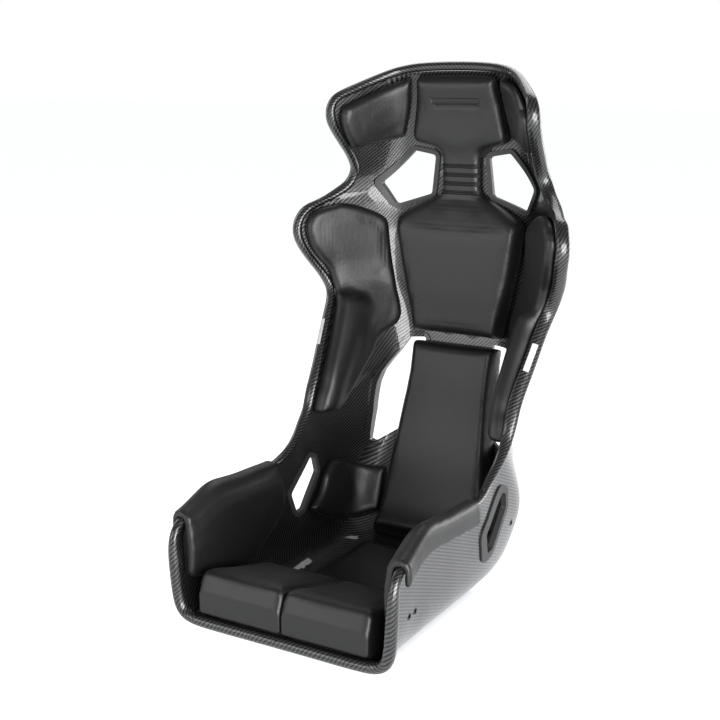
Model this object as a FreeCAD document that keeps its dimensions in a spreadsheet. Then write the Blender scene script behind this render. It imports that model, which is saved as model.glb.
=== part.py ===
import FreeCAD, Part
import math
import os

# Racing seat: a moulded carbon shell with a rolled rim, fixed foam pads, belt
# openings with trims, and side mounting hardware.  Millimetres, +Z up.  The
# seat faces -Y, X is its width and the shell is symmetric about x = 0.

V = FreeCAD.Vector
os.makedirs("parts", exist_ok=True)
doc = FreeCAD.newDocument("racing_seat")
sheet = doc.addObject("Spreadsheet::Sheet", "Dimensions")
ROW = [0]


def cell(alias, value):
    """Put one plain number in the sheet under a word for its name."""
    ROW[0] += 1
    sheet.set("A%d" % ROW[0], alias)
    sheet.set("B%d" % ROW[0], repr(value))
    sheet.setAlias("B%d" % ROW[0], alias)
    return value


DIMS = {
    "shell_thickness": 3.0,
    "ground_block": 1000.0,
    "rim_half_lip": 10.5,
    "rim_half_side": 8.0,
    "rim_half_rolled": 12.5,
    "rim_lip_depth": 1.15,
    "lip_end_z": 175.0,
    "lip_fade_z": 40.0,
    "lip_end_y": -262.0,
    "lip_fade_y": 30.0,
    "rolled_start_z": 240.0,
    "rolled_full_z": 330.0,
    "rolled_end_z": 925.0,
    "rolled_fade_z": 855.0,
    "rolled_head_share": 0.1,
    "rim_corner_round": 24.0,
    "rim_clearance": 0.15,
    "shell_corner_round": 14.0,
    "pad_gap": 2.0,
    "pad_edge_round": 13.0,
    "pad_upright_share": 0.45,
    "back_pad_thick": 37.0,
    "neck_thick": 15.0,
    "neck_start_t": 1000.0,
    "neck_thin_t": 1070.0,
    "neck_end_t": 1140.0,
    "head_full_t": 1200.0,
    "head_pad_thick": 21.0,
    "lumbar_pad_thick": 34.0,
    "wing_pad_thick": 18.0,
    "shoulder_pad_thick": 18.0,
    "side_bolster_extra": 14.0,
    "crease_t": 592.0,
    "crease_w": 330.0,
    "crease_slope": 0.265,
    "crease_lead": 62.0,
    "crease_run": 40.0,
    "ledge_t": 850.0,
    "ledge_run": 8.0,
    "hip_pad_thick": 16.0,
    "seat_base_pad_thick": 18.0,
    "cushion_front_y": -299.0,
    "cushion_bevel": 14.0,
    "cushion_round": 12.0,
    "cushion_lip_run": 8.0,
    "cushion_low_z": 86.0,
    "cushion_top_z": 120.0,
    "cushion_back_z": 68.0,
    "cushion_back_y": -104.0,
    "cushion_inner_x": 2.5,
    "lap_back_flange": 16.0,
    "lap_back_shift": -6.0,
    "cushion_lip_y": -284.0,
    "cushion_lip_z": 45.0,
    "cushion_outer_x": 165.0,
    "trim_flange": 9.0,
    "trim_face_rise": 4.0,
    "trim_back_rise": 3.0,
    "trim_wall": 3.0,
    "trim_gap": 0.2,
    "bead_flange": 8.0,
    "bead_rise": 3.2,
    "groove_length": 48.0,
    "neck_y": 345.0,
    "groove_width": 1.8,
    "groove_depth": 2.0,
    "groove_pair_pitch": 4.2,
    "groove_pitch": 17.0,
    "groove_top_z": 761.0,
    "badge_length": 100.0,
    "badge_height": 8.0,
    "badge_z": 882.0,
    "badge_depth": 1.0,
    "insert_barrel_radius": 6.0,
    "insert_flange_radius": 9.0,
    "insert_flange_thick": 2.0,
    "insert_length": 7.0,
    "insert_bore_radius": 3.4,
    "front_mount_y": -237.0,
    "mount_pitch": 22.0,
    "front_mount_z": 101.0,
    "rear_mount_y": 170.0,
    "rear_mount_z": 123.0,
    "crotch_slot_y": -74.0,
    "crotch_slot_length": 96.0,
    "crotch_slot_width": 30.0,
    "crotch_flange": 9.0,
    "crotch_flange_thick": 3.0,
    "crotch_sleeve_depth": 2.6,
    "tape_thick": 1.4,
    "label_thick": 0.4,
}
D = {name: cell(name, value) for name, value in DIMS.items()}

# Stations of the moulded surface, front lip to head edge.  Each row holds the
# centre line point (y, z), the knee where floor or back turns into the side
# (x, y, z), the rim point (x, y, z), and how far the flat (part of knee x) and
# the wall (part of knee to rim) pull the turn.
STATION_FIELDS = ("mid_y", "mid_z", "knee_x", "knee_y", "knee_z",
                  "edge_x", "edge_y", "edge_z", "flat_pull", "wall_pull")
STATIONS = [
    (-296, 31, 204, -300, 28, 211, -304, 185, 0.74, 0.28),
    (-284, 26, 203, -285, 22, 210, -285, 193, 0.66, 0.34),
    (-262, 15, 201, -262, 13, 209, -262, 204, 0.55, 0.42),
    (-235, 7, 200, -235, 7, 208, -235, 216, 0.47, 0.48),
    (-206, 3.2, 199, -206, 3.2, 207, -206, 226, 0.44, 0.50),
    (-165, 2.6, 199, -165, 2.6, 206, -165, 225, 0.43, 0.50),
    (-120, 2.5, 198, -120, 2.5, 206, -120, 221, 0.42, 0.50),
    (-70, 2.5, 198, -70, 2.5, 207, -72, 218, 0.42, 0.50),
    (-20, 2.5, 198, -20, 2.5, 207, -40, 216, 0.42, 0.50),
    (42, 2.5, 198, 42, 2.5, 208, -14, 216, 0.42, 0.50),
    (103, 3.2, 198, 103, 3.2, 208, 12, 221, 0.43, 0.49),
    (158, 8, 197, 158, 8, 206, 36, 231, 0.45, 0.47),
    (205, 23, 196, 203, 22, 205, 56, 244, 0.47, 0.46),
    (241, 56, 196, 238, 56, 206, 77, 260, 0.50, 0.44),
    (268, 112, 196, 262, 112, 207, 96, 279, 0.53, 0.42),
    (284, 163, 172, 274, 163, 206, 110, 296, 0.56, 0.38),
    (300, 216, 146, 292, 218, 206, 121, 322, 0.60, 0.34),
    (318, 274, 130, 310, 277, 206, 134, 351, 0.62, 0.32),
    (339, 341, 124, 330, 344, 209, 154, 385, 0.64, 0.32),
    (352, 403, 124, 343, 404, 214, 176, 420, 0.64, 0.32),
    (356, 452, 130, 348, 452, 219, 203, 463, 0.64, 0.33),
    (356, 482, 137, 349, 482, 222, 217, 484, 0.65, 0.34),
    (355, 514, 145, 350, 514, 229, 234, 515, 0.66, 0.35),
    (355, 533, 149, 350, 533, 236, 232, 531, 0.68, 0.35),
    (355, 554, 152, 350, 554, 246, 222, 552, 0.70, 0.35),
    (355, 576, 154, 350, 576, 256, 207, 573, 0.70, 0.35),
    (355, 596, 155, 350, 596, 262, 193, 592, 0.70, 0.35),
    (355, 622, 155, 350, 622, 270, 179, 623, 0.70, 0.35),
    (355, 645, 153, 350, 645, 271, 179, 641, 0.70, 0.35),
    (354, 664, 151, 349, 664, 268, 182, 656, 0.70, 0.35),
    (354, 680, 149, 349, 680, 263, 190, 669, 0.70, 0.35),
    (354, 694, 148, 348, 694, 255, 201, 679, 0.70, 0.35),
    (353, 706, 147, 348, 706, 245, 218, 687, 0.70, 0.35),
    (353, 720, 146, 347, 718, 233, 236, 695, 0.70, 0.35),
    (352, 734, 145, 346, 730, 220, 252, 705, 0.70, 0.36),
    (352, 748, 144, 345, 743, 207, 266, 718, 0.70, 0.37),
    (351, 763, 143, 344, 757, 198, 273, 734, 0.70, 0.38),
    (351, 777, 142, 343, 770, 193, 271, 748, 0.70, 0.40),
    (350, 793, 141, 341, 785, 192, 262, 764, 0.70, 0.40),
    (348, 810, 139, 339, 801, 193, 250, 780, 0.70, 0.40),
    (346, 828, 137, 336, 818, 195, 235, 796, 0.70, 0.40),
    (343, 850, 135, 332, 839, 198, 217, 816, 0.70, 0.40),
    (338, 878, 133, 326, 866, 201, 202, 835, 0.68, 0.40),
    (328, 912, 131, 315, 900, 202, 195, 850, 0.65, 0.40),
    (312, 945, 129, 298, 934, 203, 192, 884, 0.62, 0.44),
]
STATIONS = [[cell("st%02d_%s" % (number, field), float(value))
             for field, value in zip(STATION_FIELDS, row)]
            for number, row in enumerate(STATIONS)]


RULER_STEPS = 40
GRID_T = 330
GRID_V = 44


def flipped(p):
    return V(-p.x, p.y, p.z)


def steps(a, b, count):
    return [a + (b - a) * k / count for k in range(count + 1)]


def four_weights(x):
    """Catmull-Rom weights of the four neighbours at x between the middle two."""
    return ((-x + 2 * x * x - x ** 3) / 2, (2 - 5 * x * x + 3 * x ** 3) / 2,
            (x + 4 * x * x - 3 * x ** 3) / 2, (x ** 3 - x * x) / 2)


class Skin:
    """The moulded inner surface; v runs -1..1 across, t front lip to head.

    t is close to millimetres along the seat; v is the share of the arc length
    from the centre line (0) to the rim (1), so v times width is millimetres.
    """

    def __init__(self, stations):
        mid = [V(0, row[0], row[1]) for row in stations]
        knee = [V(row[2], row[3], row[4]) for row in stations]
        edge = [V(row[5], row[6], row[7]) for row in stations]
        knots = [0.0]
        for k in range(1, len(stations)):
            step = (mid[k].distanceToPoint(mid[k - 1]) + edge[k].distanceToPoint(edge[k - 1])) / 2
            knots.append(knots[-1] + step)
        pull = [V(row[8], row[9], t) for row, t in zip(stations, knots)]
        self.length = knots[-1]
        guides = []
        for points in (mid, knee, edge, pull):
            curve = Part.BSplineCurve()
            curve.interpolate(Points=points, Parameters=knots)
            guides.append(curve)
        self.grid = []
        self.widths = []
        for t in steps(0.0, self.length, GRID_T):
            row, width = self.even_row([guide.value(min(t, self.length)) for guide in guides])
            self.grid.append(row)
            self.widths.append(width)
        self.normals = [[self.grid_normal(i, j) for j in range(GRID_V + 1)]
                        for i in range(GRID_T + 1)]
        self.coarse = []

    @staticmethod
    def section(poles, a):
        """Cubic B-spline of five poles over knots 0 0 0 0 .5 1 1 1 1."""
        if a < 0.5:
            x = a * 2
            w = ((1 - x) ** 3, x * (12 - 18 * x + 7 * x * x) / 4,
                 x * x * (3 - 2 * x) / 2, x ** 3 / 4, 0.0)
        else:
            x = (1 - a) * 2
            w = (0.0, x ** 3 / 4, x * x * (3 - 2 * x) / 2,
                 x * (12 - 18 * x + 7 * x * x) / 4, (1 - x) ** 3)
        q = V(0, 0, 0)
        for weight, pole in zip(w, poles):
            q += pole * weight
        return q

    def even_row(self, guide_points):
        """Points evenly spaced by arc length along one section, and its length."""
        mid, knee, edge, pull = guide_points
        flat = V(knee.x * pull.x, mid.y, mid.z)
        wall = knee + (edge - knee) * pull.y
        poles = (mid, flat, knee, wall, edge)
        points = [self.section(poles, k / RULER_STEPS) for k in range(RULER_STEPS + 1)]
        curve = Part.BSplineCurve()
        curve.interpolate(points)
        spots = curve.discretize(GRID_V + 1)
        return spots, curve.length()

    def node(self, table, i, j, mirror):
        """Grid entry, extended past the ends and mirrored past the centre."""
        if j < 0:
            return mirror(self.node(table, i, -j, mirror))
        if i < 0:
            return table[0][min(j, GRID_V)] * 2 - table[1][min(j, GRID_V)]
        if i > GRID_T:
            return table[GRID_T][min(j, GRID_V)] * 2 - table[GRID_T - 1][min(j, GRID_V)]
        if j > GRID_V:
            return table[i][GRID_V] * 2 - table[i][GRID_V - 1]
        return table[i][j]

    def grid_normal(self, i, j):
        along = self.node(self.grid, i + 1, j, flipped) - self.node(self.grid, i - 1, j, flipped)
        across = self.node(self.grid, i, j + 1, flipped) - self.node(self.grid, i, j - 1, flipped)
        n = across.cross(along)
        n.normalize()
        return n

    def lookup(self, table, t, v):
        """Bicubic value of a grid table at (t, |v|)."""
        x = min(max(t / self.length, 0.0), 1.0) * GRID_T
        y = min(abs(v), 1.0) * GRID_V
        i, j = min(int(x), GRID_T - 1), min(int(y), GRID_V - 1)
        wy = four_weights(y - j)
        q = V(0, 0, 0)
        for di, a in enumerate(four_weights(x - i)):
            for dj, b in enumerate(wy):
                if a * b:
                    q += self.node(table, i + di - 1, j + dj - 1, flipped) * (a * b)
        return flipped(q) if v < 0 else q

    def point(self, t, v):
        return self.lookup(self.grid, t, v)

    def normal(self, t, v):
        """Unit normal toward the sitter."""
        n = self.lookup(self.normals, t, v)
        n.normalize()
        return n

    def offset(self, t, v, rise):
        return self.point(t, v) + self.normal(t, v) * rise

    def width(self, t):
        """Arc length from the centre line to the rim."""
        x = min(max(t / self.length, 0.0), 1.0) * GRID_T
        i = min(int(x), GRID_T - 1)
        return self.widths[i] + (self.widths[i + 1] - self.widths[i]) * (x - i)

    def speed(self, t, v):
        """Millimetres on the surface per unit of t."""
        a, b = max(t - 1, 0), min(t + 1, self.length)
        return self.point(b, v).distanceToPoint(self.point(a, v)) / (b - a)

    def locate(self, p):
        """(t, v) of the surface point nearest to p."""
        if not self.coarse:
            self.coarse = [(self.point(t, v), t, v)
                           for t in steps(0, self.length, 80) for v in steps(-1, 1, 32)]
        _, t, v = min(self.coarse, key=lambda entry: entry[0].distanceToPoint(p))
        for _ in range(12):
            q = self.point(t, v)
            dt = (self.point(min(t + 0.5, self.length), v) - self.point(max(t - 0.5, 0), v))
            dt = dt / (min(t + 0.5, self.length) - max(t - 0.5, 0))
            dv = (self.point(t, min(v + 0.002, 1)) - self.point(t, max(v - 0.002, -1)))
            dv = dv / (min(v + 0.002, 1) - max(v - 0.002, -1))
            gap = p - q
            a, b, c = dt.dot(dt), dt.dot(dv), dv.dot(dv)
            e, f = gap.dot(dt), gap.dot(dv)
            det = a * c - b * b
            t = min(max(t + 0.8 * (e * c - f * b) / det, 0), self.length)
            v = min(max(v + 0.8 * (f * a - e * b) / det, -1), 1)
        return t, v


skin = Skin(STATIONS)


def clamped(count, degree):
    """Multiplicities and knots of an open uniform B-spline."""
    spans = count - degree
    mults = [degree + 1] + [1] * (spans - 1) + [degree + 1]
    return mults, [float(k) for k in range(spans + 1)]


def net_face(net, degree_u=3, degree_v=3):
    mu, ku = clamped(len(net), degree_u)
    mv, kv = clamped(len(net[0]), degree_v)
    surface = Part.BSplineSurface()
    surface.buildFromPolesMultsKnots(net, mu, mv, ku, kv, False, False, degree_u, degree_v)
    return surface.toShape()


def solid_between(lower, upper):
    """Closed solid between two control nets of the same size."""
    faces = [net_face(lower), net_face(upper)]
    for pick in (lambda n: n[0], lambda n: n[-1],
                 lambda n: [r[0] for r in n], lambda n: [r[-1] for r in n]):
        faces.append(net_face([pick(lower), pick(upper)], 1, 3))
    shell = Part.Shell(faces)
    shell.sewShape()
    return positive(Part.makeSolid(shell))


def blend(a, b, share):
    return a + (b - a) * share


def mirrored(shape):
    return shape.mirror(V(0, 0, 0), V(1, 0, 0))


def positive(solid):
    """The same solid with its faces turned outward."""
    if solid.Volume < 0:
        solid.reverse()
    return solid


def ramp(value, start, end):
    """0 before start, 1 past end, straight in between."""
    return min(max((value - start) / (end - start), 0.0), 1.0)


def smooth_step(x):
    x = min(max(x, 0.0), 1.0)
    return x * x * (3 - 2 * x)


# ---- rim


def edge_run(along):
    """Mid-thickness points and normals along one edge of the moulding."""
    return [(skin.offset(t, v, -D["shell_thickness"] / 2), skin.normal(t, v)) for t, v in along]


def join_rounded(first, second):
    """Join two runs that share a sharp corner by a smooth parabola."""
    corner = first[-1][0]
    reach = D["rim_corner_round"]
    before = [q for q in first if q[0].distanceToPoint(corner) > reach]
    after = [q for q in second if q[0].distanceToPoint(corner) > reach]
    (p0, n0), (p2, n2) = before[-1], after[0]
    arc = []
    for k in range(1, 8):
        s = k / 8
        p = p0 * (1 - s) ** 2 + corner * (2 * s * (1 - s)) + p2 * s ** 2
        arc.append((p, blend(n0, n2, s)))
    return before + arc + after


def rounded_edge():
    """Half the rim path, front centre to head centre, with both corners rounded."""
    front = edge_run([(0.0, k / 60) for k in range(61)])
    side = edge_run([(skin.length * k / 300, 1.0) for k in range(301)])
    head = edge_run([(skin.length, 1 - k / 60) for k in range(61)])
    return join_rounded(join_rounded(front, side), head)


def resample(path, count):
    """Evenly spaced copies of a path of (point, normal)."""
    total = [0.0]
    for k in range(1, len(path)):
        total.append(total[-1] + path[k][0].distanceToPoint(path[k - 1][0]))
    out = []
    j = 0
    for k in range(count + 1):
        goal = total[-1] * k / count
        while j < len(path) - 2 and total[j + 1] < goal:
            j += 1
        share = (goal - total[j]) / (total[j + 1] - total[j])
        out.append((blend(path[j][0], path[j + 1][0], share),
                    blend(path[j][1], path[j + 1][1], share)))
    return out


def ring_net(path, half_sizes, around=8):
    """Pole rings round a closed path; half_sizes gives (through, in plane)."""
    swell = 3 / (2 + math.cos(2 * math.pi / around))
    net = []
    count = len(path)
    for k, (p, n) in enumerate(path):
        along = path[(k + 1) % count][0] - path[k - 1][0]
        along.normalize()
        side = along.cross(n)
        side.normalize()
        up = side.cross(along)
        through, plane = half_sizes(p)
        ring = []
        for j in range(around):
            turn = 2 * math.pi * j / around
            ring.append(p + up * (through * swell * math.cos(turn))
                        + side * (plane * swell * math.sin(turn)))
        net.append(ring)
    return net


def closed_tube(net):
    """Doubly periodic tube surface closed into a solid."""
    surface = Part.BSplineSurface()
    rings, around = len(net), len(net[0])
    surface.buildFromPolesMultsKnots(net, [1] * (rings + 1), [1] * (around + 1),
                                     [float(k) for k in range(rings + 1)],
                                     [float(k) for k in range(around + 1)], True, True, 3, 3)
    return positive(Part.makeSolid(Part.Shell([surface.toShape()])))


def lip_share(p):
    """1 along the front lip and its uprights, 0 elsewhere."""
    low = ramp(p.z, D["lip_end_z"], D["lip_end_z"] - D["lip_fade_z"])
    return low * ramp(p.y, D["lip_end_y"], D["lip_end_y"] - D["lip_fade_y"])


def rim_plane_half(p):
    """Half size of the rim within the wall's own plane."""
    return blend(D["rim_half_side"], D["rim_half_lip"] * D["rim_lip_depth"], lip_share(p))


def rim_through_half(p):
    """Half size through the wall: rolled further back round the torso and head."""
    rising = ramp(p.z, D["rolled_start_z"], D["rolled_full_z"])
    fading = max(ramp(p.z, D["rolled_end_z"], D["rolled_fade_z"]), D["rolled_head_share"])
    return (blend(D["rim_half_side"], D["rim_half_rolled"], rising * fading)
            + (D["rim_half_lip"] - D["rim_half_side"]) * lip_share(p))


def rim_half_sizes(p):
    return rim_through_half(p), rim_plane_half(p)


def rolled_outward(path):
    """Shift the path so that all extra rim depth lies outside the shell."""
    return [(p - n * (rim_through_half(p) - D["rim_half_side"]) * (1 - lip_share(p)), n)
            for p, n in path]


# ---- shell

def skin_inset(t, d):
    """Extra set-back of the wall edge at distance d from an end of the shell."""
    reach = D["shell_corner_round"]
    if d >= reach:
        return 0.0
    return reach - math.sqrt(reach ** 2 - (reach - d) ** 2)


def shell_net(rise):
    """Poles of one shell face, set back so its edge meets the rolled rim."""
    gap = D["rim_clearance"]
    lip = D["rim_half_lip"] * D["rim_lip_depth"] + gap
    head = D["rim_half_side"] + gap
    ends = [0.0, 0.6, 2.4, 5.5, 9.5, 14.0]
    run = skin.length - lip - head
    marks = ends + steps(20.0, run - 20.0, 104) + [run - e for e in reversed(ends)]
    net = []
    for d in marks:
        row = []
        near = min(d, run - d)
        for g in steps(-1, 1, 60):
            share = d / run
            v = g
            t0 = lip / skin.speed(0, v)
            t1 = skin.length - head / skin.speed(skin.length, v)
            t = blend(t0, t1, share)
            edge = rim_plane_half(skin.point(t, 1)) + gap
            v = g * (1 - (edge + skin_inset(t, near)) / skin.width(t))
            row.append(skin.offset(t, v, rise))
        net.append(row)
    return net


def patch(t0, t1, w0, w1, low, high, rows=10, cols=10):
    """Solid layer over a patch of the skin; w is millimetres from the centre."""
    def net(rise):
        return [[skin.offset(t, max(min(w / skin.width(t), 1), -1), rise)
                 for w in steps(w0, w1, cols)] for t in steps(t0, t1, rows)]
    return solid_between(net(low), net(high))


# ---- pads

def spread(length, soft):
    """Shares along an edge of this length, closer together near both ends."""
    reach = min(soft, length * 0.35)
    near = [0.0, 0.1 * reach, 0.32 * reach, 0.62 * reach, reach]
    inner = max(int((length - 2 * reach) / 14), 2)
    middle = steps(reach, length - reach, inner)[1:-1]
    marks = near + middle + [length - e for e in reversed(near)]
    return [m / length for m in marks]


def away(point, fence):
    """Distance from a point to the nearest segment of a closed fence."""
    best = 1e9
    for a, b in zip(fence, fence[1:] + fence[:1]):
        dx, dy = b[0] - a[0], b[1] - a[1]
        size = dx * dx + dy * dy
        if size < 1e-9:
            continue
        s = min(max(((point[0] - a[0]) * dx + (point[1] - a[1]) * dy) / size, 0), 1)
        best = min(best, math.hypot(point[0] - a[0] - s * dx, point[1] - a[1] - s * dy))
    return best


def pad_solid(ladder, height):
    """Foam pad over a ladder of rungs ((t, w) inner, (t, w) outer).

    height(t, w) is the full thickness; edges are upright for a share of it and
    rounded above that.
    """
    inner = [rung[0] for rung in ladder]
    outer = [rung[1] for rung in ladder]
    fence = inner + outer[::-1]
    soft = D["pad_edge_round"]
    tall = sum(math.dist(a, b) for a, b in zip(inner, inner[1:]))
    tall = (tall + sum(math.dist(a, b) for a, b in zip(outer, outer[1:]))) / 2
    wide = sum(math.dist(a, b) for a, b in zip(inner, outer)) / len(ladder)
    # Rungs stay paired, so both sides are walked by the same rung share.
    rung_at = [0.0]
    for k in range(1, len(ladder)):
        step = (math.dist(inner[k], inner[k - 1]) + math.dist(outer[k], outer[k - 1])) / 2
        rung_at.append(rung_at[-1] + step)
    lower, upper = [], []
    for share in spread(tall, soft):
        goal = share * rung_at[-1]
        k = 0
        while k < len(ladder) - 2 and rung_at[k + 1] < goal:
            k += 1
        s = min((goal - rung_at[k]) / (rung_at[k + 1] - rung_at[k]), 1)
        a = tuple(blend(p, q, s) for p, q in zip(inner[k], inner[k + 1]))
        b = tuple(blend(p, q, s) for p, q in zip(outer[k], outer[k + 1]))
        low_row, high_row = [], []
        for part in spread(wide, soft):
            t, w = (blend(p, q, part) for p, q in zip(a, b))
            v = max(min(w / skin.width(t), 1), -1)
            full = height(t, w)
            reach = min(soft, full * 0.8)
            x = min(away((t, w), fence) / reach, 1)
            base = D["pad_upright_share"]
            lift = full * (base + (1 - base) * math.sqrt(1 - (1 - x) ** 2))
            low_row.append(skin.offset(t, v, D["pad_gap"]))
            high_row.append(skin.offset(t, v, D["pad_gap"] + lift))
        lower.append(low_row)
        upper.append(high_row)
    return solid_between(lower, upper)


# ---- openings

def smooth_polygon(points, lift, round_r, grow):
    """Face of a polygon with rounded corners, grown outward; lift maps 2-D to 3-D."""
    flat = Part.makePolygon([V(x, y, 0) for x, y in points + points[:1]])
    core = flat.makeOffset2D(-round_r, 2, False, False, True)
    edge = core.makeOffset2D(round_r + grow, 0, False, False, True)
    face = Part.Face(edge)
    return face.transformGeometry(lift)


XZ_PLANE = FreeCAD.Matrix(1, 0, 0, 0, 0, 0, 1, 0, 0, 1, 0, 0, 0, 0, 0, 1)
YZ_PLANE = FreeCAD.Matrix(0, 0, 1, 0, 1, 0, 0, 0, 0, 1, 0, 0, 0, 0, 0, 1)


def prism_y(points, round_r, grow, near=150.0, far=420.0):
    face = smooth_polygon(points, XZ_PLANE, round_r, grow)
    face.translate(V(0, near, 0))
    return positive(face.extrude(V(0, far - near, 0)))


def prism_x(points, round_r, grow, near=150.0, far=260.0):
    face = smooth_polygon(points, YZ_PLANE, round_r, grow)
    face.translate(V(near, 0, 0))
    return positive(face.extrude(V(far - near, 0, 0)))


def grommet(area, prism, flange, face_rise, back_rise, wall, back_outline=None):
    """Channel-section trim on the edge of an opening; prism(grow) makes its cutter.
    back_outline is the wider outline of the flange on the outside of the shell."""
    t0, t1, w0, w1 = area
    thick = D["shell_thickness"]
    slack = D["trim_gap"]
    body = patch(t0, t1, w0, w1, -thick - back_rise, face_rise, 16, 16)
    body = body.common(back_outline or prism(flange)).cut(prism(0))
    if back_outline:
        excess = patch(t0 - 4, t1 + 4, w0 - 4, w1 + 4, -thick - slack, face_rise + 1, 16, 16)
        body = body.cut(excess.cut(prism(flange)))
    channel = patch(t0 - 4, t1 + 4, w0 - 4, w1 + 4, -thick - slack, slack, 16, 16)
    channel = channel.cut(prism(wall))
    return body.cut(channel)


BELT_HOLE = [(57, 777), (102, 785), (164, 722), (140, 678), (66, 702)]
BELT_HOLE_AREA = (1005, 1205, 30, 200)
LAP_SLOT = [(52, 104), (74, 107), (127, 168), (120, 197), (103, 203), (38, 146)]
LAP_SLOT_AREA = (308, 520, 225, 378)
LUMBAR_HOLE = [(74, 412), (106, 410), (119, 387), (132, 364), (140, 346), (144, 324),
               (147, 267), (154, 207), (148, 200), (76, 249)]
LUMBAR_HOLE_AREA = (560, 790, 60, 185)


def belt_prism(grow):
    return prism_y(BELT_HOLE, 7.0, grow)


def lap_prism(grow):
    return prism_x(LAP_SLOT, 7.0, grow)


def lumbar_prism(grow):
    return prism_y(LUMBAR_HOLE, 5.0, grow)


def crotch_prism(grow):
    half = D["crotch_slot_length"] / 2
    wide = D["crotch_slot_width"] / 2
    y = D["crotch_slot_y"]
    slot = [(-half, y - wide), (half, y - wide), (half, y + wide), (-half, y + wide)]
    face = smooth_polygon(slot, FreeCAD.Matrix(), wide - 1.0, grow)
    face.translate(V(0, 0, -30))
    return positive(face.extrude(V(0, 0, 70)))


# ---- pads on the skin, right-hand side first


def below_ground():
    """Block whose top trims the moulded underside to a true plane at height 0."""
    size = D["ground_block"]
    block = Part.makeBox(size, size, size, V(-size / 2, -size / 2, -size))
    return block


def both_sides(points):
    return [((t, -w), (t, w)) for t, w in points]


def back_height(t, w):
    """Thick between the shoulders, slim at the neck, fuller behind the head."""
    body = D["back_pad_thick"]
    neck = D["neck_thick"]
    head = D["head_pad_thick"]
    thinned = blend(body, neck, smooth_step(ramp(t, D["neck_start_t"], D["neck_thin_t"])))
    return blend(thinned, head, smooth_step(ramp(t, D["neck_end_t"], D["head_full_t"])))


BACK_LADDER = both_sides([(781, 97), (860, 113), (940, 128), (1006, 140), (1015, 139),
                          (1022, 128), (1068, 44), (1078, 38), (1160, 38), (1172, 41),
                          (1182, 54), (1190, 84), (1196, 98), (1206, 101), (1260, 92), (1311, 81)])
LUMBAR_LADDER = both_sides([(447, 115), (490, 113), (536, 111), (640, 104), (757, 95)])


def lumbar_height(t, w):
    return D["lumbar_pad_thick"]


WING_LADDER = [((1210, 121), (1214, 240)), ((1226, 118), (1236, 252)), ((1260, 108), (1262, 260)),
               ((1292, 101), (1292, 260)), ((1310, 98), (1309, 248))]


def wing_height(t, w):
    return D["wing_pad_thick"]


SHOULDER_LADDER = [((594, 292), (566, 350)), ((610, 264), (580, 342)), ((651, 240), (640, 316)),
                   ((708, 210), (700, 306)), ((735, 195), (742, 298)), ((761, 188), (768, 292)),
                   ((777, 168), (792, 286)), ((793, 138), (808, 282)), ((812, 131), (826, 277)),
                   ((860, 143), (862, 275)), ((927, 155), (915, 290)), ((994, 162), (968, 330)),
                   ((1012, 164), (1004, 340)), ((1022, 178), (1030, 330)), ((1048, 236), (1044, 316)),
                   ((1056, 262), (1051, 300))]


def shoulder_height(t, w):
    """Flat wing above, with a raised side bolster below the waist."""
    crease = D["crease_w"] - D["crease_slope"] * max(t - D["crease_t"], 0)
    below = smooth_step((D["ledge_t"] - t) / D["ledge_run"])
    beyond = smooth_step((abs(w) - (crease - D["crease_lead"])) / D["crease_run"])
    return D["shoulder_pad_thick"] + D["side_bolster_extra"] * below * beyond


HIP_LADDER = [((392, 262), (466, 298)), ((410, 232), (505, 286)), ((440, 190), (536, 226)),
              ((470, 150), (545, 160)), ((484, 122), (548, 124))]


def hip_height(t, w):
    return D["hip_pad_thick"]


BASE_LADDER = both_sides([(262, 122), (300, 122), (360, 120), (400, 116), (414, 110)])


def base_height(t, w):
    return D["seat_base_pad_thick"]


def cushion_roof(y):
    """Height of the cushion top: low front face, bevel, then a fall to the rear."""
    crest = D["cushion_front_y"] + D["cushion_bevel"]
    if y < crest:
        share = ramp(y, D["cushion_front_y"], crest)
        return blend(D["cushion_low_z"], D["cushion_top_z"], (smooth_step(share) + share) / 2)
    return blend(D["cushion_top_z"], D["cushion_back_z"], ramp(y, crest, D["cushion_back_y"]))


def cushion_solid():
    """Thigh cushion: follows the floor below, wedge shaped above."""
    x0, x1 = D["cushion_inner_x"], D["cushion_outer_x"]
    y0, y1 = D["cushion_front_y"], D["cushion_back_y"]
    lower, upper = [], []
    fence = [(x0, y0), (x1, y0), (x1, y1), (x0, y1)]
    soft = D["cushion_round"]
    for b in spread(y1 - y0, soft):
        y = blend(y0, y1, b)
        low, high = [], []
        for a in spread(x1 - x0, soft):
            x = blend(x0, x1, a)
            over_lip = 1 - smooth_step((y - D["cushion_lip_y"]) / D["cushion_lip_run"])
            z0 = blend(floor_height(x, y) + D["pad_gap"], D["cushion_lip_z"], over_lip)
            roof = cushion_roof(y)
            edge = min(x - x0, x1 - x, y1 - y)
            fall = soft * (1 - math.sqrt(1 - (1 - min(edge / soft, 1)) ** 2))
            low.append(V(x, y, z0))
            high.append(V(x, y, roof - fall))
        lower.append(low)
        upper.append(high)
    return solid_between(lower, upper)


def floor_height(x, y):
    """Height of the inner skin above a plan position on the floor pan."""
    t, v = 60.0, 0.3
    for _ in range(25):
        q = skin.point(t, v)
        t += (y - q.y) * 0.9
        v += (x - q.x) / skin.width(t) * 0.9
        t, v = min(max(t, 0.0), skin.length), min(max(v, 0.0), 1.0)
    return skin.point(t, v).z


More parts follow.
